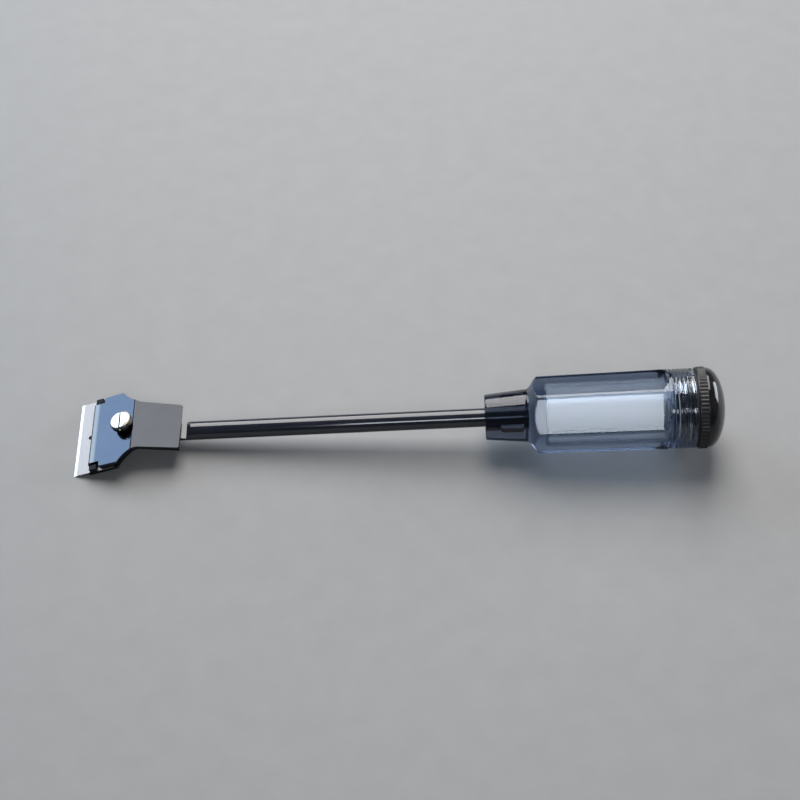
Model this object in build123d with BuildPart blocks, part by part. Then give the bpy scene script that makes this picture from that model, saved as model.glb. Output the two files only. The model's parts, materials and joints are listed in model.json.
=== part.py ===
from build123d import *
import math
import os

# Long-reach scraper for a single-edge razor blade, in millimetres.
# The pieces are drawn along the shaft: X runs from the cutting edge's station towards the cap,
# Z is up and Y is across the tool. At the end the whole tool is laid down on its cutting edge
# and on the front rim of the handle, with Z = 0 the surface that it lies on.

# ---- razor blade and its seat ----
BLADE_WIDTH = 38.1          # along the cutting edge
BLADE_DEPTH = 19.05
BLADE_THICK = 0.25
BLADE_BEVEL = 1.3           # width of the ground edge
NOTCH_WIDTH = 3.7           # locating notch in each end of the blade
NOTCH_DEPTH = 3.0
NOTCH_FROM_EDGE = 9.5
SLOT_FROM_EDGE = 5.1
SLOT_LENGTH = 8.0
SLOT_WIDTH = 2.2
SLOT_EYE = 3.0              # wider eye in the middle of the slot
EDGE_DROP = 3.55            # cutting edge below the shaft axis
SEAT_TILT = 18.2            # blade seat against the shaft axis, degrees

# ---- lower jaw ----
JAW_THICK = 1.8
JAW_FRONT = 6.2             # behind the cutting edge, along the seat
JAW_FRONT_FACE = 0.6        # height left at the front edge above its bevel
JAW_UNDERCUT = 1.2          # run of the bevel under the front edge
JAW_BEND = 27.8             # behind the cutting edge, along the seat
JAW_REAR_SLOPE = 8.5        # rear section falls this much towards the handle, degrees
JAW_END = 45.4              # station of the rear end along the shaft
JAW_HALF = 19.0             # half width beside the blade
JAW_HALF_REAR = 10.8
JAW_HOLE_PLAY = 0.3         # round the screw
BEND_RADIUS = 3.0
LUG_LENGTH = 3.3
LUG_INNER = 16.3            # half width where a lug starts
LUG_HEIGHT = 1.4            # above the blade

# ---- clamp plate ----
CLAMP_THICK = 1.4
CLAMP_TOP = 2.1             # top of its front section above the middle of the blade
CLAMP_LIP = 6.8             # foot of the curled front lip, along the seat
CLAMP_BEND = 27.3
CLAMP_REAR_SLOPE = 9.3      # rear section falls this much towards the handle, degrees
CLAMP_END = 45.7            # station of the rear end
LIP_RADIUS = 1.7
CLAMP_BEND_RADIUS = 3.0
LIP_LEAN = 0.2              # the lip's foot stands this far in front of its top
CLAMP_HALF_FRONT = 15.7     # half width between the lugs
CLAMP_STEP = 11.2           # station where it widens behind the lugs
CLAMP_HALF = (18.3, 18.5)   # half width from the step to the waist
WAIST_START = 19.7
WAIST_END = 28.0
WAIST_RADIUS = 14.0
CLAMP_HALF_REAR = (12.1, 11.5)
CLAMP_CORNER = 1.2
REST_GAP = 0.03             # between pieces that only touch when tightened

# ---- clamp screw and nut: M4 x 0.7 ----
SCREW_AT = 23.5             # behind the cutting edge, along the seat
SCREW_RADIUS = 2.0
SCREW_PITCH = 0.7
THREAD_DEPTH = 0.33
THREAD_TURNS = 9
HEAD_RADIUS = 4.75
HEAD_HEIGHT = 2.75
HEAD_RIBS = 36
RIB_DEPTH = 0.24
COLLAR_RADIUS = 2.9
COLLAR_HEIGHT = 1.6
DRIVE_WIDTH = 0.8           # screwdriver slot
DRIVE_DEPTH = 1.3
NUT_SIDE = 7.0
NUT_THICK = 2.2
NUT_CORNER = 0.4
RUNNING_GAP = 0.06          # radial play of turning pieces

# ---- shaft and rivets ----
SHAFT_RADIUS = 4.0
TONGUE_START = 27.4
SHOULDER = 47.5             # station of the foot of the slanted shoulder
SHOULDER_RUN = 2.3
SHAFT_END = 196.0
SHAFT_CHAMFER = 0.5
WING_SPAN = 12.4            # flattened wings that hold the shaft in the neck
WING_THICK = 2.0
WING_CORNER = 1.5
WING_FROM = 182.0
WING_TO = 192.0
RIVET_STATIONS = (31.0, 38.0)
RIVET_RADIUS = 1.5
RIVET_SUNK = 0.3            # its flat ends stand this far inside the surfaces

# ---- handle body ----
NECK_START = 175.3
NECK_RADIUS = 9.7
NECK_CORNER = 0.6
NECK_END = 193.2
NECK_END_RADIUS = 11.3
SWELL_MIDDLE = (195.4, 13.6)    # point that the curve from the neck to the body passes
SWELL_SLOPES = (0.25, 0.15)     # rise of that curve at its ends
BODY_START = 198.0
BODY_RADIUS = 16.4
TAPER_END = 253.0
BODY_RADIUS_REAR = 17.0
BODY_END = 263.6
RIM_CORNER = 0.4
FLAT_COUNT = 6
FLAT_HALF_ANGLE = 27.6      # half of the angle that one flat takes up, degrees
FLAT_TURN = 41.5            # turn of the first flat from the top towards -Y, degrees
FLAT_RUN_OUT = 3.4          # length of the scalloped end of a flat
FLAT_RUN_RADIUS = 6.8
FLAT_OVERRUN = 0.1          # the scallop is drawn this far past the rear radius
RING_COUNT = 5
RING_PITCH = 1.65
RING_FIRST = 254.8
RING_DEPTH = 0.45
CAVITY_START = 200.8
CAVITY_RADIUS = 9.9
MOUTH_START = 254.6
MOUTH_RADIUS = 13.0
MOUTH_CONE = 2.0            # length of the cone from the blade store to the mouth
MOUTH_CHAMFER = 0.5

# ---- seal and end cap ----
SEAL_THICK = 0.8
SEAL_RADIUS = 16.6
CAP_RADIUS = 17.2
CAP_CORNER = 0.3
CAP_END = 276.6
PLUG_START = 255.6
PLUG_CHAMFER = 0.6
PLUG_BORE = 10.4
CAP_BORE_END = 267.5
KNURL_START = 265.1
KNURL_END = 268.3
KNURL_RIBS = 64
KNURL_DEPTH = 0.35
KNURL_PROUD = 0.15
DOME_FOOT = 268.8
DOME_STEP = 0.25

# ---- room for cuts ----
OVERRUN = 1.0               # a cut starts this far outside the surface
WELL_CLEAR = 30.0           # more than any piece of the head measures from its drawing plane

seat_cos = math.cos(math.radians(SEAT_TILT))
seat_sin = math.sin(math.radians(SEAT_TILT))
# The blade's middle plane: local X runs back from the cutting edge, local Z is the screw's axis.
seat = Plane(origin=(0, 0, -EDGE_DROP), x_dir=(seat_cos, 0, seat_sin), z_dir=(-seat_sin, 0, seat_cos))
# The same slope seen from the side, for the profiles of the bent plates.
seat_side = Plane(origin=(0, 0, -EDGE_DROP), x_dir=(seat_cos, 0, seat_sin), z_dir=(0, -1, 0))
# The plane across the tool where the screw stands.
screw_plane = Plane(origin=seat.from_local_coords((SCREW_AT, 0, 0)), x_dir=seat.x_dir, z_dir=seat.z_dir)


def seat_point(station, height):
    """Point of the side profile, in seat_side's own axes, from its station and height."""
    point = seat_side.to_local_coords(Vector(station, 0, height))
    return (point.X, point.Y)


def slope_end(start, slope, station):
    """Where a section that falls by slope from start reaches the given station."""
    at = seat_side.from_local_coords(Vector(start[0], start[1], 0))
    drop = (station - at.X) * math.tan(math.radians(slope))
    return seat_point(station, at.Z - drop)


# ---- blade ----
half_thick = BLADE_THICK / 2
with BuildPart() as steel_blade:
    with BuildSketch(seat_side):
        with BuildLine():
            Polyline(
                (0, 0),
                (BLADE_BEVEL, half_thick),
                (BLADE_DEPTH, half_thick),
                (BLADE_DEPTH, -half_thick),
                (BLADE_BEVEL, -half_thick),
                close=True,
            )
        make_face()
    extrude(amount=BLADE_WIDTH / 2, both=True)
    with BuildSketch(seat):
        with Locations((NOTCH_FROM_EDGE, BLADE_WIDTH / 2), (NOTCH_FROM_EDGE, -BLADE_WIDTH / 2)):
            Rectangle(NOTCH_WIDTH, 2 * NOTCH_DEPTH)
        with Locations((SLOT_FROM_EDGE + SLOT_LENGTH / 2, 0)):
            SlotOverall(SLOT_LENGTH, SLOT_WIDTH)
            Circle(SLOT_EYE / 2)
    extrude(amount=BLADE_THICK, both=True, mode=Mode.SUBTRACT)
steel_blade.part.label = "steel_blade"

# ---- lower jaw ----
rivet_places = [(station, 0) for station in RIVET_STATIONS]
jaw_top = -half_thick
jaw_bend = (JAW_BEND, jaw_top)
jaw_end = slope_end(jaw_bend, JAW_REAR_SLOPE, JAW_END)
with BuildPart() as lower_jaw:
    with BuildSketch(seat_side):
        with BuildLine():
            FilletPolyline((JAW_FRONT, jaw_top), jaw_bend, jaw_end, radius=BEND_RADIUS)
            offset(amount=JAW_THICK, side=Side.RIGHT)
        make_face()
    extrude(amount=JAW_HALF, both=True)
    with BuildSketch(Plane.XY):
        with BuildLine():
            Polyline((0, 0), (0, JAW_HALF), (WAIST_START, JAW_HALF))
            RadiusArc((WAIST_START, JAW_HALF), (WAIST_END, JAW_HALF_REAR), -WAIST_RADIUS)
            Polyline((WAIST_END, JAW_HALF_REAR), (JAW_END, JAW_HALF_REAR), (JAW_END, 0))
            mirror(about=Plane.XZ)
        make_face()
    extrude(amount=WELL_CLEAR, both=True, mode=Mode.INTERSECT)
    # the underside of the front edge is bevelled, so that the blade can lie at a low angle
    with BuildSketch(seat_side):
        with BuildLine():
            Polyline(
                (JAW_FRONT - OVERRUN, jaw_top - JAW_FRONT_FACE),
                (JAW_FRONT, jaw_top - JAW_FRONT_FACE),
                (JAW_FRONT + JAW_UNDERCUT, jaw_top - JAW_THICK),
                (JAW_FRONT + JAW_UNDERCUT, jaw_top - JAW_THICK - OVERRUN),
                (JAW_FRONT - OVERRUN, jaw_top - JAW_THICK - OVERRUN),
                close=True,
            )
        make_face()
    extrude(amount=JAW_HALF, both=True, mode=Mode.SUBTRACT)
    with BuildSketch(seat.offset(jaw_top)):
        with Locations((NOTCH_FROM_EDGE, JAW_HALF), (NOTCH_FROM_EDGE, -JAW_HALF)):
            Rectangle(LUG_LENGTH, 2 * (JAW_HALF - LUG_INNER))
        with Locations((NOTCH_FROM_EDGE, 0)):
            Rectangle(LUG_LENGTH, 2 * JAW_HALF, mode=Mode.INTERSECT)
    extrude(amount=BLADE_THICK + LUG_HEIGHT)
    with BuildSketch(screw_plane):
        Circle(SCREW_RADIUS + JAW_HOLE_PLAY)
    extrude(amount=WELL_CLEAR, both=True, mode=Mode.SUBTRACT)
    with BuildSketch(Plane.XY):
        with Locations(*rivet_places):
            Circle(RIVET_RADIUS)
    extrude(amount=WELL_CLEAR, both=True, mode=Mode.SUBTRACT)
lower_jaw.part.label = "lower_jaw"

# ---- clamp plate: curled front lip, bend, straight rear section ----
clamp_bend = (CLAMP_BEND, CLAMP_TOP)
clamp_end = slope_end(clamp_bend, CLAMP_REAR_SLOPE, CLAMP_END)
lip_foot = (CLAMP_LIP, half_thick + REST_GAP)
lip_top = (CLAMP_LIP + LIP_LEAN, CLAMP_TOP)
with BuildPart() as clamp_plate:
    with BuildSketch(seat_side):
        with BuildLine():
            radii = (LIP_RADIUS, CLAMP_BEND_RADIUS)
            FilletPolyline(lip_foot, lip_top, clamp_bend, clamp_end, radius=radii)
            offset(amount=CLAMP_THICK, side=Side.RIGHT)
        make_face()
    extrude(amount=JAW_HALF, both=True)
    with BuildSketch(Plane.XY) as clamp_outline:
        with BuildLine():
            Polyline(
                (0, 0),
                (0, CLAMP_HALF_FRONT),
                (CLAMP_STEP, CLAMP_HALF_FRONT),
                (CLAMP_STEP, CLAMP_HALF[0]),
                (WAIST_START, CLAMP_HALF[1]),
            )
            RadiusArc((WAIST_START, CLAMP_HALF[1]), (WAIST_END, CLAMP_HALF_REAR[0]), -WAIST_RADIUS)
            Polyline(
                (WAIST_END, CLAMP_HALF_REAR[0]),
                (CLAMP_END, CLAMP_HALF_REAR[1]),
                (CLAMP_END, 0),
            )
            mirror(about=Plane.XZ)
        make_face()
        corners = clamp_outline.vertices().group_by(Axis.X)
        fillet(corners[-1] + corners[-3], CLAMP_CORNER)
        fillet(clamp_outline.vertices().group_by(Axis.X)[1].sort_by(Axis.Y)[0::3], CLAMP_CORNER)
    extrude(amount=WELL_CLEAR, both=True, mode=Mode.INTERSECT)
    # the lip is ground flat where it bears on the blade
    with BuildSketch(seat.offset(lip_foot[1])):
        Rectangle(BLADE_DEPTH, 2 * BLADE_WIDTH)
    extrude(amount=-CLAMP_THICK, mode=Mode.SUBTRACT)
    with BuildSketch(screw_plane):
        Circle(SCREW_RADIUS + RUNNING_GAP)
    extrude(amount=WELL_CLEAR, both=True, mode=Mode.SUBTRACT)
clamp_plate.part.label = "clamp_plate"

# ---- nut under the jaw ----
nut_top = jaw_top - JAW_THICK
with BuildPart() as clamp_nut:
    with BuildSketch(screw_plane.offset(nut_top - NUT_THICK)):
        RectangleRounded(NUT_SIDE, NUT_SIDE, NUT_CORNER)
        Circle(SCREW_RADIUS + RUNNING_GAP, mode=Mode.SUBTRACT)
    extrude(amount=NUT_THICK)
clamp_nut.part.label = "clamp_nut"

# ---- clamp screw: ribbed head on a collar, threaded shank ----
collar_foot = CLAMP_TOP + REST_GAP
head_foot = collar_foot + COLLAR_HEIGHT
head_top = head_foot + HEAD_HEIGHT
shank_end = nut_top - NUT_THICK - SCREW_PITCH
with BuildPart() as clamp_screw:
    with BuildSketch(screw_plane.offset(collar_foot)):
        Circle(COLLAR_RADIUS)
    extrude(amount=COLLAR_HEIGHT)
    with BuildSketch(screw_plane.offset(head_foot)):
        Circle(HEAD_RADIUS)
        with PolarLocations(HEAD_RADIUS, HEAD_RIBS):
            RegularPolygon(RIB_DEPTH, 4, mode=Mode.SUBTRACT)
    extrude(amount=HEAD_HEIGHT)
    with BuildSketch(screw_plane.offset(head_top)):
        Rectangle(DRIVE_WIDTH, 3 * HEAD_RADIUS)
    extrude(amount=-DRIVE_DEPTH, mode=Mode.SUBTRACT)
    with BuildSketch(screw_plane.offset(shank_end)):
        Circle(SCREW_RADIUS)
    extrude(amount=collar_foot - shank_end)
    with BuildSketch(seat_side):
        for index in range(THREAD_TURNS):
            with Locations((SCREW_AT + SCREW_RADIUS, shank_end + (index + 0.5) * SCREW_PITCH)):
                RegularPolygon(THREAD_DEPTH, 4)
    revolve(axis=Axis(screw_plane.origin, screw_plane.z_dir), mode=Mode.SUBTRACT)
clamp_screw.part.label = "clamp_screw"

# ---- shaft: round rod with a half-round tongue under the jaw and wings in the neck ----
jaw_under = [seat_side.from_local_coords(Vector(x, y, 0)) for x, y in (jaw_bend, jaw_end)]
flat_fall = math.tan(math.radians(JAW_REAR_SLOPE))


def tongue_flat(station):
    """Height of the tongue's flat, which the jaw's rear section lies on."""
    under = jaw_under[0].Z - JAW_THICK / math.cos(math.radians(JAW_REAR_SLOPE))
    return under - (station - jaw_under[0].X) * flat_fall


with BuildPart() as shaft:
    with BuildSketch(Plane.YZ.offset(TONGUE_START)):
        Circle(SHAFT_RADIUS)
    extrude(amount=SHAFT_END - TONGUE_START)
    with BuildSketch(Plane.XZ):
        with BuildLine():
            Polyline(
                (TONGUE_START - OVERRUN, tongue_flat(TONGUE_START - OVERRUN)),
                (SHOULDER, tongue_flat(SHOULDER)),
                (SHOULDER + SHOULDER_RUN, SHAFT_RADIUS),
                (SHOULDER + SHOULDER_RUN, SHAFT_RADIUS + OVERRUN),
                (TONGUE_START - OVERRUN, SHAFT_RADIUS + OVERRUN),
                close=True,
            )
        make_face()
    extrude(amount=SHAFT_RADIUS + OVERRUN, both=True, mode=Mode.SUBTRACT)
    with BuildSketch(Plane.XY):
        with Locations(*rivet_places):
            Circle(RIVET_RADIUS)
    extrude(amount=WELL_CLEAR, both=True, mode=Mode.SUBTRACT)
    with BuildSketch(Plane.XY):
        with Locations(((WING_FROM + WING_TO) / 2, 0)):
            RectangleRounded(WING_TO - WING_FROM, WING_SPAN, WING_CORNER)
    extrude(amount=WING_THICK / 2, both=True)
    chamfer(shaft.edges().sort_by(Axis.X)[-1], SHAFT_CHAMFER)
shaft.part.label = "shaft"

# ---- rivets: two in one node ----
with BuildPart() as jaw_rivets:
    for station in RIVET_STATIONS:
        length = tongue_flat(station) + JAW_THICK + SHAFT_RADIUS - 2 * RIVET_SUNK
        with BuildSketch(Plane.XY.offset(RIVET_SUNK - SHAFT_RADIUS)):
            with Locations((station, 0)):
                Circle(RIVET_RADIUS)
        extrude(amount=length)
jaw_rivets.part.label = "jaw_rivets"

# ---- handle body ----
def taper_radius(station):
    """Outer radius of the gripping length."""
    share = (station - BODY_START) / (TAPER_END - BODY_START)
    return BODY_RADIUS + share * (BODY_RADIUS_REAR - BODY_RADIUS)


flat_cos = math.cos(math.radians(FLAT_HALF_ANGLE))
flat_front = (NECK_END, taper_radius(NECK_END) * flat_cos)
flat_rear = (TAPER_END - FLAT_RUN_OUT, taper_radius(TAPER_END - FLAT_RUN_OUT) * flat_cos)
with BuildPart() as handle_body:
    with BuildSketch(Plane.XZ):
        with BuildLine():
            Polyline(
                (NECK_START, 0),
                (NECK_START, NECK_RADIUS - NECK_CORNER),
                (NECK_START + NECK_CORNER, NECK_RADIUS),
                (NECK_END, NECK_END_RADIUS),
            )
            Spline(
                (NECK_END, NECK_END_RADIUS),
                SWELL_MIDDLE,
                (BODY_START, BODY_RADIUS),
                tangents=((1, SWELL_SLOPES[0]), (1, SWELL_SLOPES[1])),
            )
            Polyline(
                (BODY_START, BODY_RADIUS),
                (TAPER_END, BODY_RADIUS_REAR),
                (BODY_END - RIM_CORNER, BODY_RADIUS_REAR),
                (BODY_END, BODY_RADIUS_REAR - RIM_CORNER),
                (BODY_END, 0),
                (NECK_START, 0),
            )
        make_face()
    revolve(axis=Axis.X)
    # flats, each cut by a side profile that ends in a scalloped run-out
    with BuildSketch(Plane.XZ):
        with BuildLine():
            Line(flat_front, flat_rear)
            RadiusArc(flat_rear, (TAPER_END, BODY_RADIUS_REAR + FLAT_OVERRUN), -FLAT_RUN_RADIUS)
            Polyline(
                (TAPER_END, BODY_RADIUS_REAR + FLAT_OVERRUN),
                (TAPER_END, BODY_RADIUS_REAR + OVERRUN),
                (NECK_END, BODY_RADIUS_REAR + OVERRUN),
                flat_front,
            )
        make_face()
    flat_cutter = extrude(amount=BODY_RADIUS, both=True, mode=Mode.PRIVATE)
    for index in range(FLAT_COUNT):
        turn = FLAT_TURN + index * 360 / FLAT_COUNT
        add(flat_cutter.rotate(Axis.X, turn), mode=Mode.SUBTRACT)
    # rings round the rear band
    with BuildSketch(Plane.XZ):
        for index in range(RING_COUNT):
            with Locations((RING_FIRST + index * RING_PITCH, BODY_RADIUS_REAR)):
                RegularPolygon(RING_DEPTH, 4)
    revolve(axis=Axis.X, mode=Mode.SUBTRACT)
    # blade store with the cap's thread at its mouth
    with BuildSketch(Plane.XZ):
        with BuildLine():
            Polyline(
                (CAVITY_START, 0),
                (CAVITY_START, CAVITY_RADIUS),
                (MOUTH_START - MOUTH_CONE, CAVITY_RADIUS),
                (MOUTH_START, MOUTH_RADIUS),
                (BODY_END - MOUTH_CHAMFER, MOUTH_RADIUS),
                (BODY_END, MOUTH_RADIUS + MOUTH_CHAMFER),
                (BODY_END, 0),
                close=True,
            )
        make_face()
    revolve(axis=Axis.X, mode=Mode.SUBTRACT)
    add(shaft.part, mode=Mode.SUBTRACT)
handle_body.part.label = "handle_body"

# ---- seal ring between the handle's mouth and the cap ----
with BuildPart() as cap_seal:
    with BuildSketch(Plane.YZ.offset(BODY_END + REST_GAP)):
        Circle(SEAL_RADIUS)
        Circle(MOUTH_RADIUS + RUNNING_GAP, mode=Mode.SUBTRACT)
    extrude(amount=SEAL_THICK)
    fillet(cap_seal.edges().filter_by(GeomType.CIRCLE).group_by(SortBy.RADIUS)[-1], SEAL_THICK / 3)
cap_seal.part.label = "cap_seal"

# ---- end cap: knurled band, dome, hollow plug ----
cap_start = BODY_END + SEAL_THICK + 2 * REST_GAP
plug_radius = MOUTH_RADIUS - RUNNING_GAP
with BuildPart() as end_cap:
    with BuildSketch(Plane.XZ):
        with BuildLine():
            Polyline(
                (PLUG_START, PLUG_BORE),
                (PLUG_START, plug_radius - PLUG_CHAMFER),
                (PLUG_START + PLUG_CHAMFER, plug_radius),
                (cap_start, plug_radius),
                (cap_start, CAP_RADIUS - CAP_CORNER),
                (cap_start + CAP_CORNER, CAP_RADIUS),
                (KNURL_START, CAP_RADIUS),
                (KNURL_START, CAP_RADIUS + KNURL_PROUD),
                (KNURL_END, CAP_RADIUS + KNURL_PROUD),
                (KNURL_END, CAP_RADIUS - DOME_STEP),
                (DOME_FOOT, CAP_RADIUS - DOME_STEP),
            )
            EllipticalCenterArc((DOME_FOOT, 0), CAP_END - DOME_FOOT, CAP_RADIUS - DOME_STEP, arc_size=90)
            Polyline(
                (CAP_END, 0),
                (CAP_BORE_END, 0),
                (CAP_BORE_END, PLUG_BORE),
                (PLUG_START, PLUG_BORE),
            )
        make_face()
    revolve(axis=Axis.X)
    with BuildSketch(Plane.YZ.offset(KNURL_START)):
        with PolarLocations(CAP_RADIUS + KNURL_PROUD, KNURL_RIBS):
            RegularPolygon(KNURL_DEPTH, 4)
    extrude(amount=KNURL_END - KNURL_START, mode=Mode.SUBTRACT)
end_cap.part.label = "end_cap"

# ---- the tool laid down ----
# It turns about Y until the front rim's lowest point is as low as the cutting edge.
pieces = (
    steel_blade, lower_jaw, clamp_plate, clamp_nut, clamp_screw,
    shaft, jaw_rivets, handle_body, cap_seal, end_cap,
)
flat_step = 360 / FLAT_COUNT
lowest_flat = flat_step / 2 - abs((180 - FLAT_TURN) % flat_step - flat_step / 2)
rim_radius = BODY_RADIUS * math.cos(math.radians(FLAT_HALF_ANGLE - lowest_flat))
REST_TILT = math.degrees(math.atan2(rim_radius - EDGE_DROP, BODY_START))
tilted = Plane.XY.rotated((0, -REST_TILT, 0)).location
whole = Compound(children=[piece.part.moved(tilted) for piece in pieces]).bounding_box()
laid_down = Location((-whole.center().X, 0, -whole.min.Z)) * tilted

os.makedirs("parts", exist_ok=True)
for piece in pieces:
    placed = piece.part.moved(laid_down)
    placed.label = piece.part.label
    export_step(placed, f"parts/{placed.label}.step")
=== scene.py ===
import json
import math

import bmesh
import bpy
from mathutils import Matrix, Vector


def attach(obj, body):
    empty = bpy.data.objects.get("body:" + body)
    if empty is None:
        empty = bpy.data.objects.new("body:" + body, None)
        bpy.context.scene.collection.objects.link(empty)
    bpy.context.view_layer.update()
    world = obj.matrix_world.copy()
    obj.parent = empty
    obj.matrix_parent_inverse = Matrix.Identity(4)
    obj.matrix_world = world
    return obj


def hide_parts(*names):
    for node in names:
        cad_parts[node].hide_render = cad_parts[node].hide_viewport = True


# Long-reach razor blade scraper lying on a pale grey sheet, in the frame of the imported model.
# Local sizes are in millimetres; the matrices below take them to the row frame, in metres.
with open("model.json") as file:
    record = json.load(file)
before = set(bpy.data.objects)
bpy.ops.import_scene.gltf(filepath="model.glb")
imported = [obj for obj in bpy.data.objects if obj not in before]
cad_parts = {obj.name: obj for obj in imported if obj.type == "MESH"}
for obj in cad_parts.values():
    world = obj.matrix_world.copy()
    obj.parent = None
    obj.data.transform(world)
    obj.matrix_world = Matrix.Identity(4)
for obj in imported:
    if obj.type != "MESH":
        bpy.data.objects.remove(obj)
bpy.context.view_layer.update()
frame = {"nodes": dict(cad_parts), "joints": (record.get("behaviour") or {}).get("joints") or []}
MM = 0.001

# ---------------------------------------------------------------- sizes
BODY_END = 263.6            # station of the handle's mouth, where the cap's joint stands
SCREW_AT = 23.5             # screw's place along the blade seat

NECK_START = 175.3
NECK_RADIUS = 9.7
NECK_CORNER = 0.6
NECK_END = 193.2
NECK_END_RADIUS = 11.3
BODY_START = 198.0
BODY_RADIUS = 16.4
TAPER_END = 253.0
REAR_RADIUS = 17.0
RIM_CORNER = 0.4
FLAT_COUNT = 6
FLAT_HALF = math.radians(27.6)
FLAT_TURN = math.radians(41.5)
FLAT_RUN_OUT = 3.4
EDGE_SOFT = 0.16            # softening of the edges between flats
RING_COUNT = 5
RING_PITCH = 1.65
RING_FIRST = 254.8
RING_DEPTH = 0.45
RING_HALF = 0.5             # half of a groove's width
BORE_RADIUS = 3.98          # a hair inside the shaft's surface
BORE_END = 195.9
CAVITY_START = 200.8
CAVITY_RADIUS = 9.9
CAVITY_CORNER = 1.6
MOUTH_START = 254.6
MOUTH_RADIUS = 13.0
MOUTH_CONE = 2.0
MOUTH_CHAMFER = 0.5
MOUTH_THREAD_START = 255.2

CAP_THREAD_PITCH = 1.5
CAP_THREAD_DEPTH = 0.45
THREAD_PLAY = 0.06
PLUG_START = 255.6
PLUG_BORE = 10.4
PLUG_CHAMFER = 0.6
PLUG_INNER_CHAMFER = 0.3
PLUG_THREAD_START = 256.2
CAP_START = 264.46
CAP_CORNER = 0.3
CAP_RADIUS = 17.2
CAP_BORE_END = 267.5
CAP_BORE_CORNER = 1.0
CAP_END = 276.6
KNURL_START = 265.1
KNURL_END = 268.3
KNURL_RIBS = 64
KNURL_DEPTH = 0.35
KNURL_PROUD = 0.15
KNURL_EDGE = 0.12           # sloping end of the ribs
KNURL_STEP = 0.1            # length of the step down to the dome
DOME_START = 268.8
DOME_RADIUS = 16.95

SHANK_END = -4.825          # heights on the screw count from the middle of the blade's thickness
SHANK_RADIUS = 2.0
SHANK_CHAMFER = 0.6
SHANK_PLAIN = 0.3           # without thread, under the collar
SCREW_PITCH = 0.7
SCREW_THREAD_DEPTH = 0.33
COLLAR_FOOT = 2.13
COLLAR_RADIUS = 2.9
COLLAR_CORNER = 0.15
COLLAR_FLARE = 0.2          # cone between the collar and the head
HEAD_FOOT = 3.73
HEAD_TOP = 6.48
HEAD_RADIUS = 4.75
HEAD_RIBS = 36
RIB_DEPTH = 0.24
HEAD_CHAMFER = 0.35
HEAD_CROWN = 0.08           # drop from the flat top to the top of the chamfer
DRIVE_WIDTH = 0.8
DRIVE_DEPTH = 1.3
DRIVE_CUTTER = 6.0          # half of the cutter's length, past the rim of the head
DRIVE_ABOVE = 1.0           # height of the cutter over the head

COVER_ROUNDING = 0.15       # width of the rounded edges of the copies of CAD pieces
JAW_ROUNDING = 0.2
NUT_ROUNDING = 0.25
MERGE_WITHIN = 0.15         # corners of a copy closer than this are joined first
FLAT_WITHIN = 2             # degrees between faces that are taken as one

ROW_GAP = 0.2               # between two rows beside a change of outline
WALL_GAP = 1.0              # from a corner to the next row of a plain wall
HANDLE_SECTORS = 300
SECTORS_PER_RIB = 6
SHARP_ANGLE = 35            # degrees; edges sharper than this aren't shaded smooth
HANDLE_SHARP_ANGLE = 50     # keeps the handle's rings and thread flanks smooth

# ---------------------------------------------------------------- the tool's own axes
joints = {joint["name"]: joint for joint in frame["joints"]}
across = Vector((0, 1, 0))
along = Vector(joints["cap_turn"]["axis"]).normalized()
tool_up = along.cross(across)
tool_origin = Vector(joints["cap_turn"]["pos_m"]) - along * BODY_END * MM
screw_up = Vector(joints["clamp_screw_turn"]["axis"]).normalized()
screw_origin = Vector(joints["clamp_screw_turn"]["pos_m"])
seat_along = across.cross(screw_up)
edge_origin = screw_origin - seat_along * SCREW_AT * MM


def axes_matrix(origin, x_axis, y_axis, z_axis):
    """Takes local axes, in millimetres, to the row frame."""
    matrix = Matrix((x_axis * MM, y_axis * MM, z_axis * MM)).transposed().to_4x4()
    matrix.translation = origin
    return matrix


tool = axes_matrix(tool_origin, along, across, tool_up)
seat = axes_matrix(edge_origin, seat_along, across, screw_up)
screw_frame = axes_matrix(screw_origin, screw_up, across, -seat_along)


# ---------------------------------------------------------------- mesh helpers
def new_object(name, verts, faces, matrix=Matrix.Identity(4), sharp=SHARP_ANGLE):
    """Mesh from vertices in local axes, smooth except at edges sharper than the angle."""
    mesh = bpy.data.meshes.new(name)
    mesh.from_pydata([matrix @ Vector(v) for v in verts], [], faces)
    mesh.validate()
    shape = bmesh.new()
    shape.from_mesh(mesh)
    bmesh.ops.recalc_face_normals(shape, faces=shape.faces)
    shape.to_mesh(mesh)
    shape.free()
    mesh.shade_smooth()
    mesh.set_sharp_from_angle(angle=math.radians(sharp))
    obj = bpy.data.objects.new(name, mesh)
    bpy.context.scene.collection.objects.link(obj)
    return obj


def lathe(name, rows, count, matrix, turn=0.0, sharp=SHARP_ANGLE):
    """Turned piece. Each row is a station and a radius, a number or a function of the angle.

    The angle starts at the top and grows towards the viewer's side. A row of radius 0 is one point.
    """
    verts = []
    rings = []
    for station, radius in rows:
        if radius == 0:
            rings.append([len(verts)])
            verts.append((station, 0, 0))
            continue
        rings.append(list(range(len(verts), len(verts) + count)))
        for i in range(count):
            angle = turn + 2 * math.pi * i / count
            r = radius(angle) if callable(radius) else radius
            verts.append((station, -r * math.sin(angle), r * math.cos(angle)))
    faces = []
    for a, b in zip(rings, rings[1:]):
        for i in range(count):
            j = (i + 1) % count
            if len(a) == 1:
                faces.append((a[0], b[i], b[j]))
            elif len(b) == 1:
                faces.append((a[i], b[0], a[j]))
            else:
                faces.append((a[i], b[i], b[j], a[j]))
    return new_object(name, verts, faces, matrix, sharp)


def spread(start, end, steps):
    """Evenly spaced values from start to end, both included."""
    return [start + (end - start) * k / steps for k in range(steps + 1)]


def corner(station, radius, size, first, last, steps=4):
    """Rows of a round corner about a point; angles in degrees from +station towards +radius."""
    rows = []
    for degrees in spread(first, last, steps):
        turned = math.radians(degrees)
        rows.append((station + size * math.cos(turned), radius + size * math.sin(turned)))
    return rows


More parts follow.
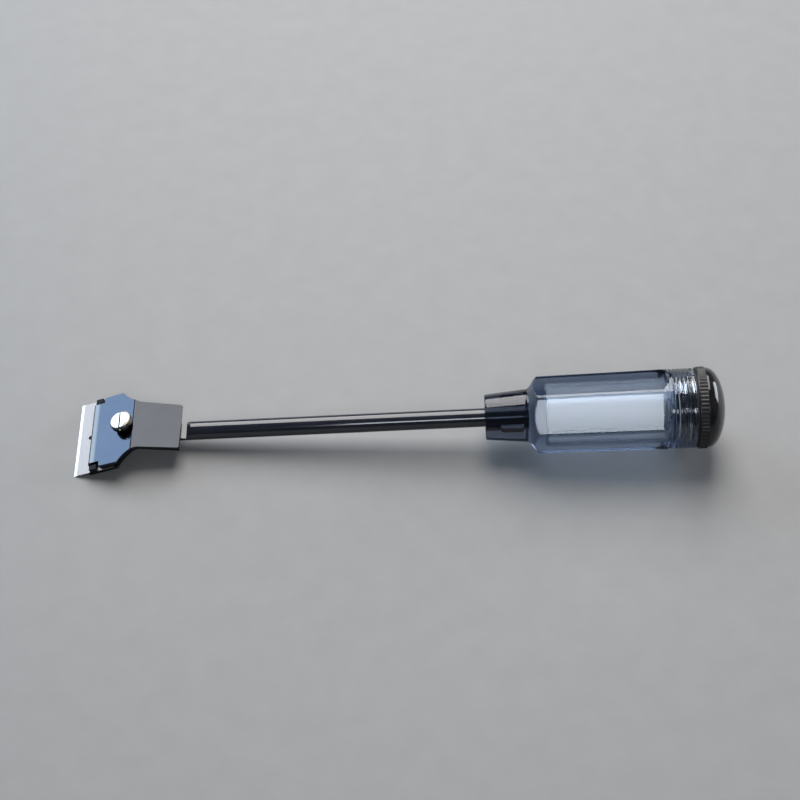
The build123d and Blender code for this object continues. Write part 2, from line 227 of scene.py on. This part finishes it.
def ease(t, start_slope=0.0, end_slope=0.0):
    """Smooth step from 0 to 1 with the given slopes at its ends."""
    rise = t * t * (3 - 2 * t)
    return rise + t * (1 - t) * ((1 - t) * start_slope - t * end_slope)


def clamp01(value):
    """Value held between 0 and 1."""
    return min(1.0, max(0.0, value))


def soft_min(a, b, width):
    """Smaller of two values, rounded off where they are closer than the width."""
    near = max(width - abs(a - b), 0) / width
    return min(a, b) - near * near * width / 4


def tooth(station, angle, pitch):
    """Thread profile between 0 at the root and 1 at the crest, for a right-hand thread."""
    phase = (station / pitch - angle / (2 * math.pi)) % 1.0
    return ease(clamp01(1.5 - abs(4 * phase - 2)))


def threaded(station, root, depth, pitch):
    """Radius of a threaded row, by the angle."""
    return lambda angle: root + depth * tooth(station, angle, pitch)


def ribbed(radius, depth, count):
    """Radius of a row of rounded ribs, by the angle."""
    return lambda angle: radius - depth * ease(0.5 - 0.5 * math.cos(count * angle))


def cut(obj, cutter):
    """Takes the cutter's volume out of the piece and removes the cutter."""
    boolean = obj.modifiers.new("cut", "BOOLEAN")
    boolean.object = cutter
    boolean.solver = "EXACT"
    shaped = obj.evaluated_get(bpy.context.evaluated_depsgraph_get())
    mesh = bpy.data.meshes.new_from_object(shaped)
    obj.modifiers.clear()
    obj.data = mesh
    mesh.set_sharp_from_angle(angle=math.radians(SHARP_ANGLE))
    bpy.data.objects.remove(cutter)


def block(name, low, high, matrix):
    """Plain box between two corners, for cutting."""
    (x0, y0, z0), (x1, y1, z1) = low, high
    verts = [(x, y, z) for x in (x0, x1) for y in (y0, y1) for z in (z0, z1)]
    faces = [(0, 1, 3, 2), (4, 6, 7, 5), (0, 4, 5, 1), (2, 3, 7, 6), (0, 2, 6, 4), (1, 5, 7, 3)]
    return new_object(name, verts, faces, matrix)


def rounded_copy(name, node, width):
    """Copy of a CAD piece with its edges rounded off by the width, in millimetres."""
    source = frame["nodes"][node].data
    verts = [v.co for v in source.vertices]
    obj = new_object(name, verts, [tuple(p.vertices) for p in source.polygons])
    shape = bmesh.new()
    shape.from_mesh(obj.data)
    bmesh.ops.remove_doubles(shape, verts=shape.verts, dist=MERGE_WITHIN * MM)
    bmesh.ops.dissolve_limit(
        shape, angle_limit=math.radians(FLAT_WITHIN), verts=shape.verts, edges=shape.edges
    )
    bmesh.ops.recalc_face_normals(shape, faces=shape.faces)
    shape.to_mesh(obj.data)
    shape.free()
    obj.data.shade_smooth()
    bevel = obj.modifiers.new("rounding", "BEVEL")
    bevel.width = width * MM
    bevel.segments = 3
    bevel.limit_method = "ANGLE"
    bevel.angle_limit = math.radians(30)
    bevel.use_clamp_overlap = False
    bevel.harden_normals = True
    return obj


def stands_for(piece, body, node, material):
    """The piece moves with a body, stands for a CAD node, which it hides, and takes the given material.
    """
    piece.data.materials.clear()
    piece.data.materials.append(material)
    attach(piece, body)
    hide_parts(node)


# ---------------------------------------------------------------- material helpers
def new_material(name, colour, roughness, metallic=0.0, ior=1.5):
    """Material whose plain values sit on the shader's own sockets."""
    material = bpy.data.materials.new(name)
    material.use_nodes = True
    shader = material.node_tree.nodes["Principled BSDF"]
    shader.inputs["Base Color"].default_value = (*colour, 1)
    shader.inputs["Roughness"].default_value = roughness
    shader.inputs["Metallic"].default_value = metallic
    shader.inputs["IOR"].default_value = ior
    return material


def place(material, matrix=None):
    """Coordinates on the surface in metres; with a matrix, in that matrix's local millimetres."""
    nodes = material.node_tree.nodes
    coords = nodes.new("ShaderNodeTexCoord")
    if matrix is None:
        return coords.outputs["Object"]
    back = matrix.inverted()
    mapping = nodes.new("ShaderNodeMapping")
    mapping.inputs["Location"].default_value = back.translation
    mapping.inputs["Rotation"].default_value = back.to_euler()
    mapping.inputs["Scale"].default_value = back.to_scale()
    material.node_tree.links.new(coords.outputs["Object"], mapping.inputs["Vector"])
    return mapping.outputs["Vector"]


def noise(material, coords, size, detail=4.0):
    """Noise between 0 and 1. size is its grain along the three axes, in the coordinates' units."""
    nodes = material.node_tree.nodes
    links = material.node_tree.links
    mapping = nodes.new("ShaderNodeMapping")
    mapping.inputs["Scale"].default_value = [1 / s for s in size]
    texture = nodes.new("ShaderNodeTexNoise")
    texture.inputs["Scale"].default_value = 1
    texture.inputs["Detail"].default_value = detail
    links.new(coords, mapping.inputs["Vector"])
    links.new(mapping.outputs["Vector"], texture.inputs["Vector"])
    return texture.outputs["Fac"]


def remap(material, value, old, new):
    """Stretches a value from the old range to the new one, held at the ends."""
    node = material.node_tree.nodes.new("ShaderNodeMapRange")
    node.inputs["From Min"].default_value, node.inputs["From Max"].default_value = old
    node.inputs["To Min"].default_value, node.inputs["To Max"].default_value = new
    material.node_tree.links.new(value, node.inputs["Value"])
    return node.outputs["Result"]


def tint(material, value, colours):
    """Base colour from a value between 0 and 1. colours is a list of places and colours."""
    node = material.node_tree.nodes.new("ShaderNodeValToRGB")
    ramp = node.color_ramp
    while len(ramp.elements) < len(colours):
        ramp.elements.new(0.5)
    for element, (position, colour) in zip(ramp.elements, colours):
        element.position = position
        element.color = (*colour, 1)
    shader = material.node_tree.nodes["Principled BSDF"]
    links = material.node_tree.links
    links.new(value, node.inputs["Fac"])
    links.new(node.outputs["Color"], shader.inputs["Base Color"])


def set_roughness(material, value):
    """Roughness from a value that changes over the surface."""
    shader = material.node_tree.nodes["Principled BSDF"]
    material.node_tree.links.new(value, shader.inputs["Roughness"])


def add_bump(material, value, height):
    """Bumps of the given height, in millimetres, on top of any that are there already."""
    nodes = material.node_tree.nodes
    links = material.node_tree.links
    shader = nodes["Principled BSDF"]
    bump = nodes.new("ShaderNodeBump")
    bump.inputs["Distance"].default_value = height * MM
    links.new(value, bump.inputs["Height"])
    if shader.inputs["Normal"].is_linked:
        links.new(shader.inputs["Normal"].links[0].from_socket, bump.inputs["Normal"])
    links.new(bump.outputs["Normal"], shader.inputs["Normal"])


def along_axis(material, coords, axis):
    """One coordinate by itself."""
    node = material.node_tree.nodes.new("ShaderNodeSeparateXYZ")
    material.node_tree.links.new(coords, node.inputs["Vector"])
    return node.outputs[axis]


def off_axis(material, coords):
    """Distance from the local X axis."""
    nodes = material.node_tree.nodes
    links = material.node_tree.links
    flat = nodes.new("ShaderNodeVectorMath")
    flat.operation = "MULTIPLY"
    flat.inputs[1].default_value = (0, 1, 1)
    links.new(coords, flat.inputs[0])
    length = nodes.new("ShaderNodeVectorMath")
    length.operation = "LENGTH"
    links.new(flat.outputs["Vector"], length.inputs[0])
    return length.outputs["Value"]


def combine(material, operation, a, b):
    """Sum, product or the like of two values."""
    node = material.node_tree.nodes.new("ShaderNodeMath")
    node.operation = operation
    material.node_tree.links.new(a, node.inputs[0])
    material.node_tree.links.new(b, node.inputs[1])
    return node.outputs["Value"]


def let_lamps_through(material, colour):
    """Lets lamps shine through clear plastic, tinted by the colour, in place of caustics."""
    nodes = material.node_tree.nodes
    links = material.node_tree.links
    path = nodes.new("ShaderNodeLightPath")
    clear = nodes.new("ShaderNodeBsdfTransparent")
    clear.inputs["Color"].default_value = (*colour, 1)
    mix = nodes.new("ShaderNodeMixShader")
    links.new(path.outputs["Is Shadow Ray"], mix.inputs["Fac"])
    links.new(nodes["Principled BSDF"].outputs["BSDF"], mix.inputs[1])
    links.new(clear.outputs["BSDF"], mix.inputs[2])
    links.new(mix.outputs["Shader"], nodes["Material Output"].inputs["Surface"])


# ---------------------------------------------------------------- materials
LIP_HIGHLIGHT = (8.4, 9.8)       # stations between which the painted highlight on the clamp's lip gives way to the painted blue reflection
CLAMP_BEND = (24.2, 26.4)   # stations across its bend, where the painted blue reflection gives way to black
BEVEL_END = (1.2, 1.35)     # distances from the cutting edge between which the bevel ends


def black_steel_painted_reflection():
    """Pressed steel with a glossy black finish: painted blue reflection before the bend, painted
    highlight brighter on the lip.
    """
    material = new_material("black_steel_painted_reflection", (0.045, 0.05, 0.065), roughness=0.12, metallic=1.0)
    coords = place(material, tool)
    station = along_axis(material, coords, "X")
    cloud = noise(material, coords, (9, 7, 9), detail=3)
    lip_highlight = remap(material, station, LIP_HIGHLIGHT, (-1.0, 0.0))
    bend = remap(material, station, CLAMP_BEND, (0.0, 1.0))
    zone = combine(material, "ADD", lip_highlight, bend)
    finish = combine(material, "ADD", zone, remap(material, cloud, (0, 1), (-0.12, 0.12)))
    # painted highlight on the lip, painted blue reflection before the bend, plain black behind it, with
    # a random cloud
    tint(material, remap(material, finish, (-1.2, 1.2), (0.0, 1.0)), [
        (0.08, (0.105, 0.104, 0.104)),
        (0.44, (0.038, 0.046, 0.062)),
        (0.56, (0.047, 0.055, 0.073)),
        (0.88, (0.0275, 0.029, 0.0325)),
        (0.96, (0.0315, 0.033, 0.0375)),
    ])
    lines = noise(material, coords, (14, 0.35, 0.5), detail=3)
    set_roughness(material, remap(material, lines, (0.25, 0.75), (0.08, 0.17)))
    add_bump(material, noise(material, coords, (1.6, 1.6, 1.6), detail=2), height=0.004)
    return material


def black_oxide():
    """Pressed steel with a dull black oxide, as on the jaw."""
    material = new_material("black_oxide", (0.008, 0.008, 0.010), roughness=0.5)
    material.node_tree.nodes["Principled BSDF"].inputs["Specular IOR Level"].default_value = 0.1
    coords = place(material, tool)
    cloud = noise(material, coords, (4, 4, 4), detail=4)
    tint(material, cloud, [(0.3, (0.006, 0.006, 0.008)), (0.7, (0.013, 0.013, 0.016))])
    set_roughness(material, remap(material, cloud, (0.3, 0.7), (0.42, 0.6)))
    add_bump(material, noise(material, coords, (0.7, 0.7, 0.7), detail=3), height=0.006)
    return material


def nickel(name):
    """Bright nickel plate with turning marks round the screw's axis, painted shade in the driver slot
    and on the ribbed side.
    """
    material = new_material(name, (0.70, 0.66, 0.60), roughness=0.16, metallic=1.0)
    coords = place(material, screw_frame)
    mottle = noise(material, coords, (1.5, 1.5, 1.5), detail=4)
    height = along_axis(material, coords, "X")
    out = off_axis(material, coords)
    # painted shade: duller on the ribs, dark where the metal is sunk below the top, inside the rim
    side = remap(material, out, (HEAD_RADIUS - 0.9, HEAD_RADIUS - 0.3), (0.0, 0.25))
    sunk = remap(material, height, (HEAD_TOP - 0.35, HEAD_TOP - 0.1), (0.9, 0.0))
    inside = remap(material, out, (HEAD_RADIUS - 0.7, HEAD_RADIUS - 0.5), (1.0, 0.0))
    painted_shade = combine(material, "MAXIMUM", combine(material, "MULTIPLY", sunk, inside), side)
    shade = combine(material, "ADD", painted_shade, remap(material, mottle, (0.3, 0.7), (0.0, 0.1)))
    tint(material, shade, [
        (0.0, (0.72, 0.69, 0.64)),
        (0.1, (0.62, 0.58, 0.52)),
        (0.35, (0.34, 0.30, 0.24)),
        (0.95, (0.05, 0.042, 0.034)),
    ])
    set_roughness(material, remap(material, shade, (0.0, 0.6), (0.13, 0.4)))
    rings = material.node_tree.nodes.new("ShaderNodeTexWave")
    rings.wave_type = "RINGS"
    rings.rings_direction = "X"
    rings.inputs["Scale"].default_value = 1.6
    rings.inputs["Distortion"].default_value = 0.6
    material.node_tree.links.new(coords, rings.inputs["Vector"])
    add_bump(material, rings.outputs["Fac"], height=0.006)
    return material


def blade_steel():
    """Ground carbon steel: satin grinding lines parallel to the edge, and a finely honed bevel."""
    material = new_material("blade_steel", (0.45, 0.43, 0.41), roughness=0.45, metallic=1.0)
    coords = place(material, seat)
    lines = noise(material, coords, (0.12, 9, 1), detail=5)
    ground = remap(material, along_axis(material, coords, "X"), BEVEL_END, (0.0, 1.0))
    shade = combine(material, "SUBTRACT", ground, remap(material, lines, (0.3, 0.7), (0.0, 0.15)))
    tint(material, shade, [
        (0.0, (0.48, 0.44, 0.42)),
        (0.85, (0.315, 0.272, 0.25)),
        (1.0, (0.38, 0.33, 0.305)),
    ])
    set_roughness(material, remap(material, shade, (0.0, 1.0), (0.3, 0.5)))
    add_bump(material, lines, height=0.004)
    return material


def black_enamel(name):
    """Glossy black finish on a drawn rod, with faint lengthwise draw lines."""
    material = new_material(name, (0.016, 0.018, 0.027), roughness=0.1, ior=1.6)
    coords = place(material, tool)
    cloud = noise(material, coords, (12, 2, 2), detail=3)
    tint(material, cloud, [(0.3, (0.014, 0.016, 0.024)), (0.7, (0.024, 0.026, 0.036))])
    lines = noise(material, coords, (40, 0.4, 0.4), detail=3)
    set_roughness(material, remap(material, lines, (0.3, 0.7), (0.06, 0.14)))
    add_bump(material, lines, height=0.004)
    return material


def smoke_plastic():
    """Clear cellulose plastic with a blue-grey smoke tint: polished outside, frosted in the store."""
    material = new_material("smoke_plastic", (1, 1, 1), roughness=0.03, ior=1.48)
    nodes = material.node_tree.nodes
    links = material.node_tree.links
    nodes["Principled BSDF"].inputs["Transmission Weight"].default_value = 1
    coords = place(material, tool)
    marks = noise(material, coords, (6, 0.8, 0.8), detail=5)
    polish = remap(material, marks, (0.4, 0.8), (0.015, 0.06))
    station = along_axis(material, coords, "X")
    wall = (CAVITY_RADIUS + 0.4, CAVITY_RADIUS + 3.4)
    near = remap(material, off_axis(material, coords), wall, (0.5, 0.0))
    behind = remap(material, station, (CAVITY_START - 1.5, CAVITY_START - 0.5), (0.0, 1.0))
    frost = combine(material, "MULTIPLY", near, behind)
    set_roughness(material, combine(material, "ADD", polish, frost))
    streaks = noise(material, coords, (60, 0.9, 0.9), detail=3)
    add_bump(material, combine(material, "MULTIPLY", streaks, frost), height=0.08)
    add_bump(material, noise(material, coords, (18, 3, 3), detail=2), height=0.01)
    absorption = nodes.new("ShaderNodeVolumeAbsorption")
    absorption.inputs["Color"].default_value = (0.45, 0.53, 0.64, 1)
    absorption.inputs["Density"].default_value = 135
    links.new(absorption.outputs["Volume"], nodes["Material Output"].inputs["Volume"])
    tint(material, remap(material, station, (NECK_END - 1, NECK_END + 3), (0.0, 1.0)), [
        (0.0, (0.30, 0.32, 0.37)),
        (1.0, (0.97, 0.98, 1.0)),
    ])
    let_lamps_through(material, (0.56, 0.60, 0.62))
    return material


def black_plastic():
    """Moulded black plastic: glossy dome, duller knurled band, faint flow grain and rub marks."""
    material = new_material("cap_black", (0.012, 0.011, 0.012), roughness=0.12, ior=1.53)
    material.node_tree.nodes["Principled BSDF"].inputs["Specular IOR Level"].default_value = 0.38
    coords = place(material, tool)
    cloud = noise(material, coords, (3, 3, 3), detail=4)
    tint(material, cloud, [(0.3, (0.010, 0.009, 0.010)), (0.7, (0.018, 0.017, 0.018))])
    station = along_axis(material, coords, "X")
    band = remap(material, station, (KNURL_END, KNURL_END + 0.3), (0.3, 0.0))
    polish = remap(material, cloud, (0.3, 0.75), (0.07, 0.15))
    set_roughness(material, combine(material, "ADD", band, polish))
    add_bump(material, noise(material, coords, (0.5, 0.5, 0.5), detail=2), height=0.004)
    return material


def soft_rubber():
    """Matt black rubber with a fine moulded grain."""
    material = new_material("seal_rubber", (0.015, 0.015, 0.015), roughness=0.6)
    coords = place(material, tool)
    grain = noise(material, coords, (0.25, 0.25, 0.25), detail=4)
    tint(material, grain, [(0.3, (0.011, 0.011, 0.012)), (0.7, (0.022, 0.022, 0.022))])
    set_roughness(material, remap(material, grain, (0.3, 0.7), (0.5, 0.72)))
    add_bump(material, grain, height=0.02)
    return material


def grey_sheet():
    """Pale grey sheet that the tool lies on."""
    material = new_material("grey_sheet", (0.29, 0.283, 0.275), roughness=0.6)
    coords = place(material)
    grain = noise(material, coords, (0.012, 0.012, 0.012), detail=6)
    tint(material, grain, [(0.3, (0.282, 0.275, 0.268)), (0.7, (0.298, 0.291, 0.283))])
    add_bump(material, noise(material, coords, (0.0006, 0.0006, 0.0006), detail=3), height=0.02)
    return material


# ---------------------------------------------------------------- handle body
def round_radius(station):
    """Outside of the handle before its flats are cut."""
    if station < NECK_END:
        share = (station - NECK_START) / (NECK_END - NECK_START)
        return NECK_RADIUS + share * (NECK_END_RADIUS - NECK_RADIUS)
    if station < BODY_START:
        rise = ease((station - NECK_END) / (BODY_START - NECK_END), start_slope=0.24, end_slope=0.14)
        return NECK_END_RADIUS + rise * (BODY_RADIUS - NECK_END_RADIUS)
    share = clamp01((station - BODY_START) / (TAPER_END - BODY_START))
    return BODY_RADIUS + share * (REAR_RADIUS - BODY_RADIUS)


def flat_distance(station):
    """Distance of a flat from the axis. It ends in a scalloped run-out."""
    share = (station - BODY_START) / (TAPER_END - BODY_START)
    level = (BODY_RADIUS + share * (REAR_RADIUS - BODY_RADIUS)) * math.cos(FLAT_HALF)
    run = max(0.0, 1 - (TAPER_END - station) / FLAT_RUN_OUT)
    return level + (REAR_RADIUS - level) * run * (1 + 2 * run) / 3


def groove(station):
    """Depth of the rings round the rear band."""
    nearest = round((station - RING_FIRST) / RING_PITCH)
    if not 0 <= nearest < RING_COUNT:
        return 0.0
    off = abs(station - RING_FIRST - nearest * RING_PITCH) / RING_HALF
    return RING_DEPTH * ease(clamp01(1 - off))


def handle_outside(station):
    """Radius of the handle's outside at a station, by the angle."""
    outside = round_radius(station) - groove(station)
    if not NECK_END < station < TAPER_END:
        return outside

    def radius(angle):
        step = 2 * math.pi / FLAT_COUNT
        off = (angle - FLAT_TURN + step / 2) % step - step / 2
        return soft_min(outside, flat_distance(station) / math.cos(off), EDGE_SOFT)

    return radius


def mouth_thread(station, play=0.0, start=MOUTH_THREAD_START, end=math.inf):
    """Radius of the cap's thread at a station, by the angle. It fades in at start, out at end."""
    fade = ease(clamp01((station - start) / CAP_THREAD_PITCH)) * ease(clamp01(end - station))
    return threaded(station, MOUTH_RADIUS - play, CAP_THREAD_DEPTH * fade, CAP_THREAD_PITCH)


def mouth_cone(station):
    """Radius between the blade store and the threaded mouth."""
    return MOUTH_RADIUS + (CAVITY_RADIUS - MOUTH_RADIUS) * ease((MOUTH_START - station) / MOUTH_CONE)


def handle_stations():
    """Stations of the rows outside, closer together where the outline changes."""
    run_out = TAPER_END - FLAT_RUN_OUT
    stations = spread(NECK_START + 2.5 * NECK_CORNER, NECK_END, 8)
    stations += spread(NECK_END + ROW_GAP, BODY_START, 16)
    stations += spread(BODY_START + 3 * ROW_GAP, run_out, 14)
    stations += spread(run_out + ROW_GAP, TAPER_END + ROW_GAP, 17)
    stations.append(RING_FIRST - 1.5 * RING_HALF)
    for index in range(RING_COUNT):
        middle = RING_FIRST + index * RING_PITCH
        stations += spread(middle - RING_HALF, middle + RING_HALF, 8)
    return stations


def make_handle():
    """Hollow handle: solid neck with a blind bore, six flats, rings, blade store and threaded mouth."""
    rows = [(BORE_END, 0)]
    rows += [(s, BORE_RADIUS) for s in spread(BORE_END, NECK_START, 6)]
    rows += corner(NECK_START + NECK_CORNER, NECK_RADIUS - NECK_CORNER, NECK_CORNER, 180, 90)
    rows += [(s, handle_outside(s)) for s in handle_stations()]
    rows += corner(BODY_END - RIM_CORNER, REAR_RADIUS - RIM_CORNER, RIM_CORNER, 90, 0)
    rows.append((BODY_END, MOUTH_RADIUS + MOUTH_CHAMFER))
    thread_stations = spread(BODY_END - MOUTH_CHAMFER, MOUTH_START + ROW_GAP, 56)
    rows += [(s, mouth_thread(s)) for s in thread_stations]
    cone_end = MOUTH_START - MOUTH_CONE
    rows += [(s, mouth_cone(s)) for s in spread(MOUTH_START, cone_end, 8)]
    corner_start = CAVITY_START + CAVITY_CORNER
    rows += [(s, CAVITY_RADIUS) for s in spread(cone_end - 3 * WALL_GAP, corner_start + WALL_GAP, 8)]
    rows += corner(corner_start, CAVITY_RADIUS - CAVITY_CORNER, CAVITY_CORNER, 90, 180, steps=6)
    rows.append((CAVITY_START, 0))
    return lathe(
        "handle_shell", rows, HANDLE_SECTORS, tool, turn=FLAT_TURN, sharp=HANDLE_SHARP_ANGLE
    )


# ---------------------------------------------------------------- end cap
def make_cap():
    """Screw cap: hollow threaded plug, knurled band and domed end."""
    plug_radius = MOUTH_RADIUS - THREAD_PLAY
    rows = [(CAP_BORE_END, 0)]
    rows += corner(CAP_BORE_END - CAP_BORE_CORNER, PLUG_BORE - CAP_BORE_CORNER, CAP_BORE_CORNER, 0, 90)
    bore_stations = spread(CAP_BORE_END - 2 * CAP_BORE_CORNER, PLUG_START + PLUG_INNER_CHAMFER, 6)
    rows += [(s, PLUG_BORE) for s in bore_stations]
    rows.append((PLUG_START, PLUG_BORE + PLUG_INNER_CHAMFER))
    rows.append((PLUG_START, plug_radius - PLUG_CHAMFER))
    for station in spread(PLUG_START + PLUG_CHAMFER, CAP_START - ROW_GAP / 2, 56):
        thread = mouth_thread(station, THREAD_PLAY, PLUG_THREAD_START, CAP_START - ROW_GAP)
        rows.append((station, thread))
    rows.append((CAP_START, plug_radius))
    rows += corner(CAP_START + CAP_CORNER, CAP_RADIUS - CAP_CORNER, CAP_CORNER, 180, 90)
    rows.append((KNURL_START, CAP_RADIUS))
    knurl = ribbed(CAP_RADIUS + KNURL_PROUD, KNURL_DEPTH, KNURL_RIBS)
    rows += [(s, knurl) for s in spread(KNURL_START + KNURL_EDGE, KNURL_END - KNURL_EDGE, 6)]
    rows.append((KNURL_END, CAP_RADIUS))
    rows.append((KNURL_END + KNURL_STEP, DOME_RADIUS))
    height = CAP_END - DOME_START
    for turned in spread(0, math.pi / 2, 24):
        rows.append((DOME_START + height * math.sin(turned), DOME_RADIUS * math.cos(turned)))
    rows[-1] = (CAP_END, 0)
    return lathe("screw_cap", rows, KNURL_RIBS * SECTORS_PER_RIB, tool)


# ---------------------------------------------------------------- clamp screw
def screw_thread(station):
    """Radius of the shank's thread at a station, by the angle. It fades in at the tip."""
    fade = ease(clamp01((station - SHANK_END) / SCREW_PITCH))
    root = SHANK_RADIUS - SCREW_THREAD_DEPTH
    return threaded(station, root, SCREW_THREAD_DEPTH * fade, SCREW_PITCH)


def make_screw():
    """Thumb screw: threaded shank, plain collar, ribbed head with a screwdriver slot."""
    ribs = ribbed(HEAD_RADIUS, RIB_DEPTH, HEAD_RIBS)
    inner_ribs = ribbed(HEAD_RADIUS - HEAD_CHAMFER, RIB_DEPTH, HEAD_RIBS)
    rows = [(SHANK_END, 0), (SHANK_END, SHANK_RADIUS - SHANK_CHAMFER)]
    rows += [(s, screw_thread(s)) for s in spread(SHANK_END + ROW_GAP, COLLAR_FOOT - 2 * ROW_GAP, 80)]
    rows += [(COLLAR_FOOT - SHANK_PLAIN, SHANK_RADIUS), (COLLAR_FOOT, SHANK_RADIUS)]
    rows += corner(COLLAR_FOOT + COLLAR_CORNER, COLLAR_RADIUS - COLLAR_CORNER, COLLAR_CORNER, 180, 90)
    rows += [
        (HEAD_FOOT - COLLAR_FLARE, COLLAR_RADIUS),
        (HEAD_FOOT, COLLAR_RADIUS + COLLAR_FLARE),
        (HEAD_FOOT, HEAD_RADIUS - HEAD_CHAMFER),
        (HEAD_FOOT + HEAD_CHAMFER, ribs),
        (HEAD_TOP - HEAD_CHAMFER, ribs),
        (HEAD_TOP - HEAD_CROWN, inner_ribs),
        (HEAD_TOP, HEAD_RADIUS - 2 * HEAD_CHAMFER),
        (HEAD_TOP, 0),
    ]
    screw = lathe("thumb_screw", rows, HEAD_RIBS * SECTORS_PER_RIB, screw_frame)
    half = DRIVE_WIDTH / 2
    low = (HEAD_TOP - DRIVE_DEPTH, -DRIVE_CUTTER, -half)
    high = (HEAD_TOP + DRIVE_ABOVE, DRIVE_CUTTER, half)
    cut(screw, block("slot_cutter", low, high, screw_frame))
    return screw


# ---------------------------------------------------------------- the pieces
stands_for(make_handle(), "frame", "handle_body", smoke_plastic())
stands_for(make_cap(), "cap", "end_cap", black_plastic())
stands_for(make_screw(), "screw", "clamp_screw", nickel("bright_nickel"))
cover = rounded_copy("clamp_cover", "clamp_plate", COVER_ROUNDING)
stands_for(cover, "clamp", "clamp_plate", black_steel_painted_reflection())
jaw = rounded_copy("jaw_plate", "lower_jaw", JAW_ROUNDING)
stands_for(jaw, "frame", "lower_jaw", black_oxide())
nut = rounded_copy("square_nut", "clamp_nut", NUT_ROUNDING)
stands_for(nut, "frame", "clamp_nut", nickel("dull_nickel"))

# CAD pieces that are shown as they are, in new finishes
carried_over = {
    "shaft": black_enamel("rod_enamel"),
    "jaw_rivets": black_enamel("rivet_black"),
    "steel_blade": blade_steel(),
    "cap_seal": soft_rubber(),
}
for node, material in carried_over.items():
    mesh = frame["nodes"][node].data
    mesh.materials.clear()
    mesh.materials.append(material)

# ---------------------------------------------------------------- floor
FLOOR_HALF = 3.0            # metres
sides = ((-1, -1), (1, -1), (1, 1), (-1, 1))
floor_corners = [(x * FLOOR_HALF, y * FLOOR_HALF, 0) for x, y in sides]
floor = new_object("floor", floor_corners, [(0, 1, 2, 3)])
floor.data.materials.append(grey_sheet())


# ---------------------------------------------------------------- light
def soft_light(name, direction, distance, size, radiance, colour):
    """Softbox facing the frame's origin. radiance is its brightness as seen."""
    light = bpy.data.lights.new(name, "AREA")
    light.shape = "RECTANGLE"
    light.size, light.size_y = size
    light.energy = radiance * math.pi * size[0] * size[1]
    light.color = colour
    obj = bpy.data.objects.new(name, light)
    bpy.context.scene.collection.objects.link(obj)
    towards = Vector(direction).normalized()
    obj.location = towards * distance
    obj.rotation_euler = towards.to_track_quat("Z", "Y").to_euler()


soft_light(
    "top_box", direction=(0.0, 0.62, 0.78), distance=1.6, size=(1.05, 1.5),
    radiance=6.4, colour=(1.0, 0.99, 0.98),
)
soft_light(
    "left_box", direction=(-0.70, 0.60, 0.38), distance=1.5, size=(0.65, 1.0),
    radiance=6.0, colour=(0.62, 0.80, 1.0),
)
soft_light(
    "right_box", direction=(0.9, 0.38, 0.21), distance=1.5, size=(0.8, 0.6),
    radiance=9.0, colour=(0.88, 0.94, 1.0),
)
soft_light(
    "front_box", direction=(0.0, -0.71, 0.70), distance=1.5, size=(0.4, 0.35),
    radiance=9.0, colour=(0.86, 0.93, 1.0),
)
ROOM_COLOUR = (0.055, 0.063, 0.080)
world = bpy.data.worlds.new("studio")
world.use_nodes = True
world.node_tree.nodes["Background"].inputs["Color"].default_value = (*ROOM_COLOUR, 1)
bpy.context.scene.world = world

# ---------------------------------------------------------------- camera
VIEW_TARGET = Vector((0.84, 21.33, 0)) * MM
VIEW_DISTANCE = 816.1 * MM
VIEW_ELEVATION = math.radians(51.75)
VIEW_TURN = math.radians(-0.49)
LENS = 83.75
SENSOR_WIDTH = 36
camera_data = bpy.data.cameras.new("camera")
camera_data.lens = LENS
camera_data.sensor_width = SENSOR_WIDTH
camera = bpy.data.objects.new("camera", camera_data)
bpy.context.scene.collection.objects.link(camera)
back = Vector((
    math.sin(VIEW_TURN) * math.cos(VIEW_ELEVATION),
    -math.cos(VIEW_TURN) * math.cos(VIEW_ELEVATION),
    math.sin(VIEW_ELEVATION),
))
camera.location = VIEW_TARGET + back * VIEW_DISTANCE
camera.rotation_euler = back.to_track_quat("Z", "Y").to_euler()
bpy.context.scene.camera = camera
bpy.context.scene.view_settings.view_transform = "Standard"
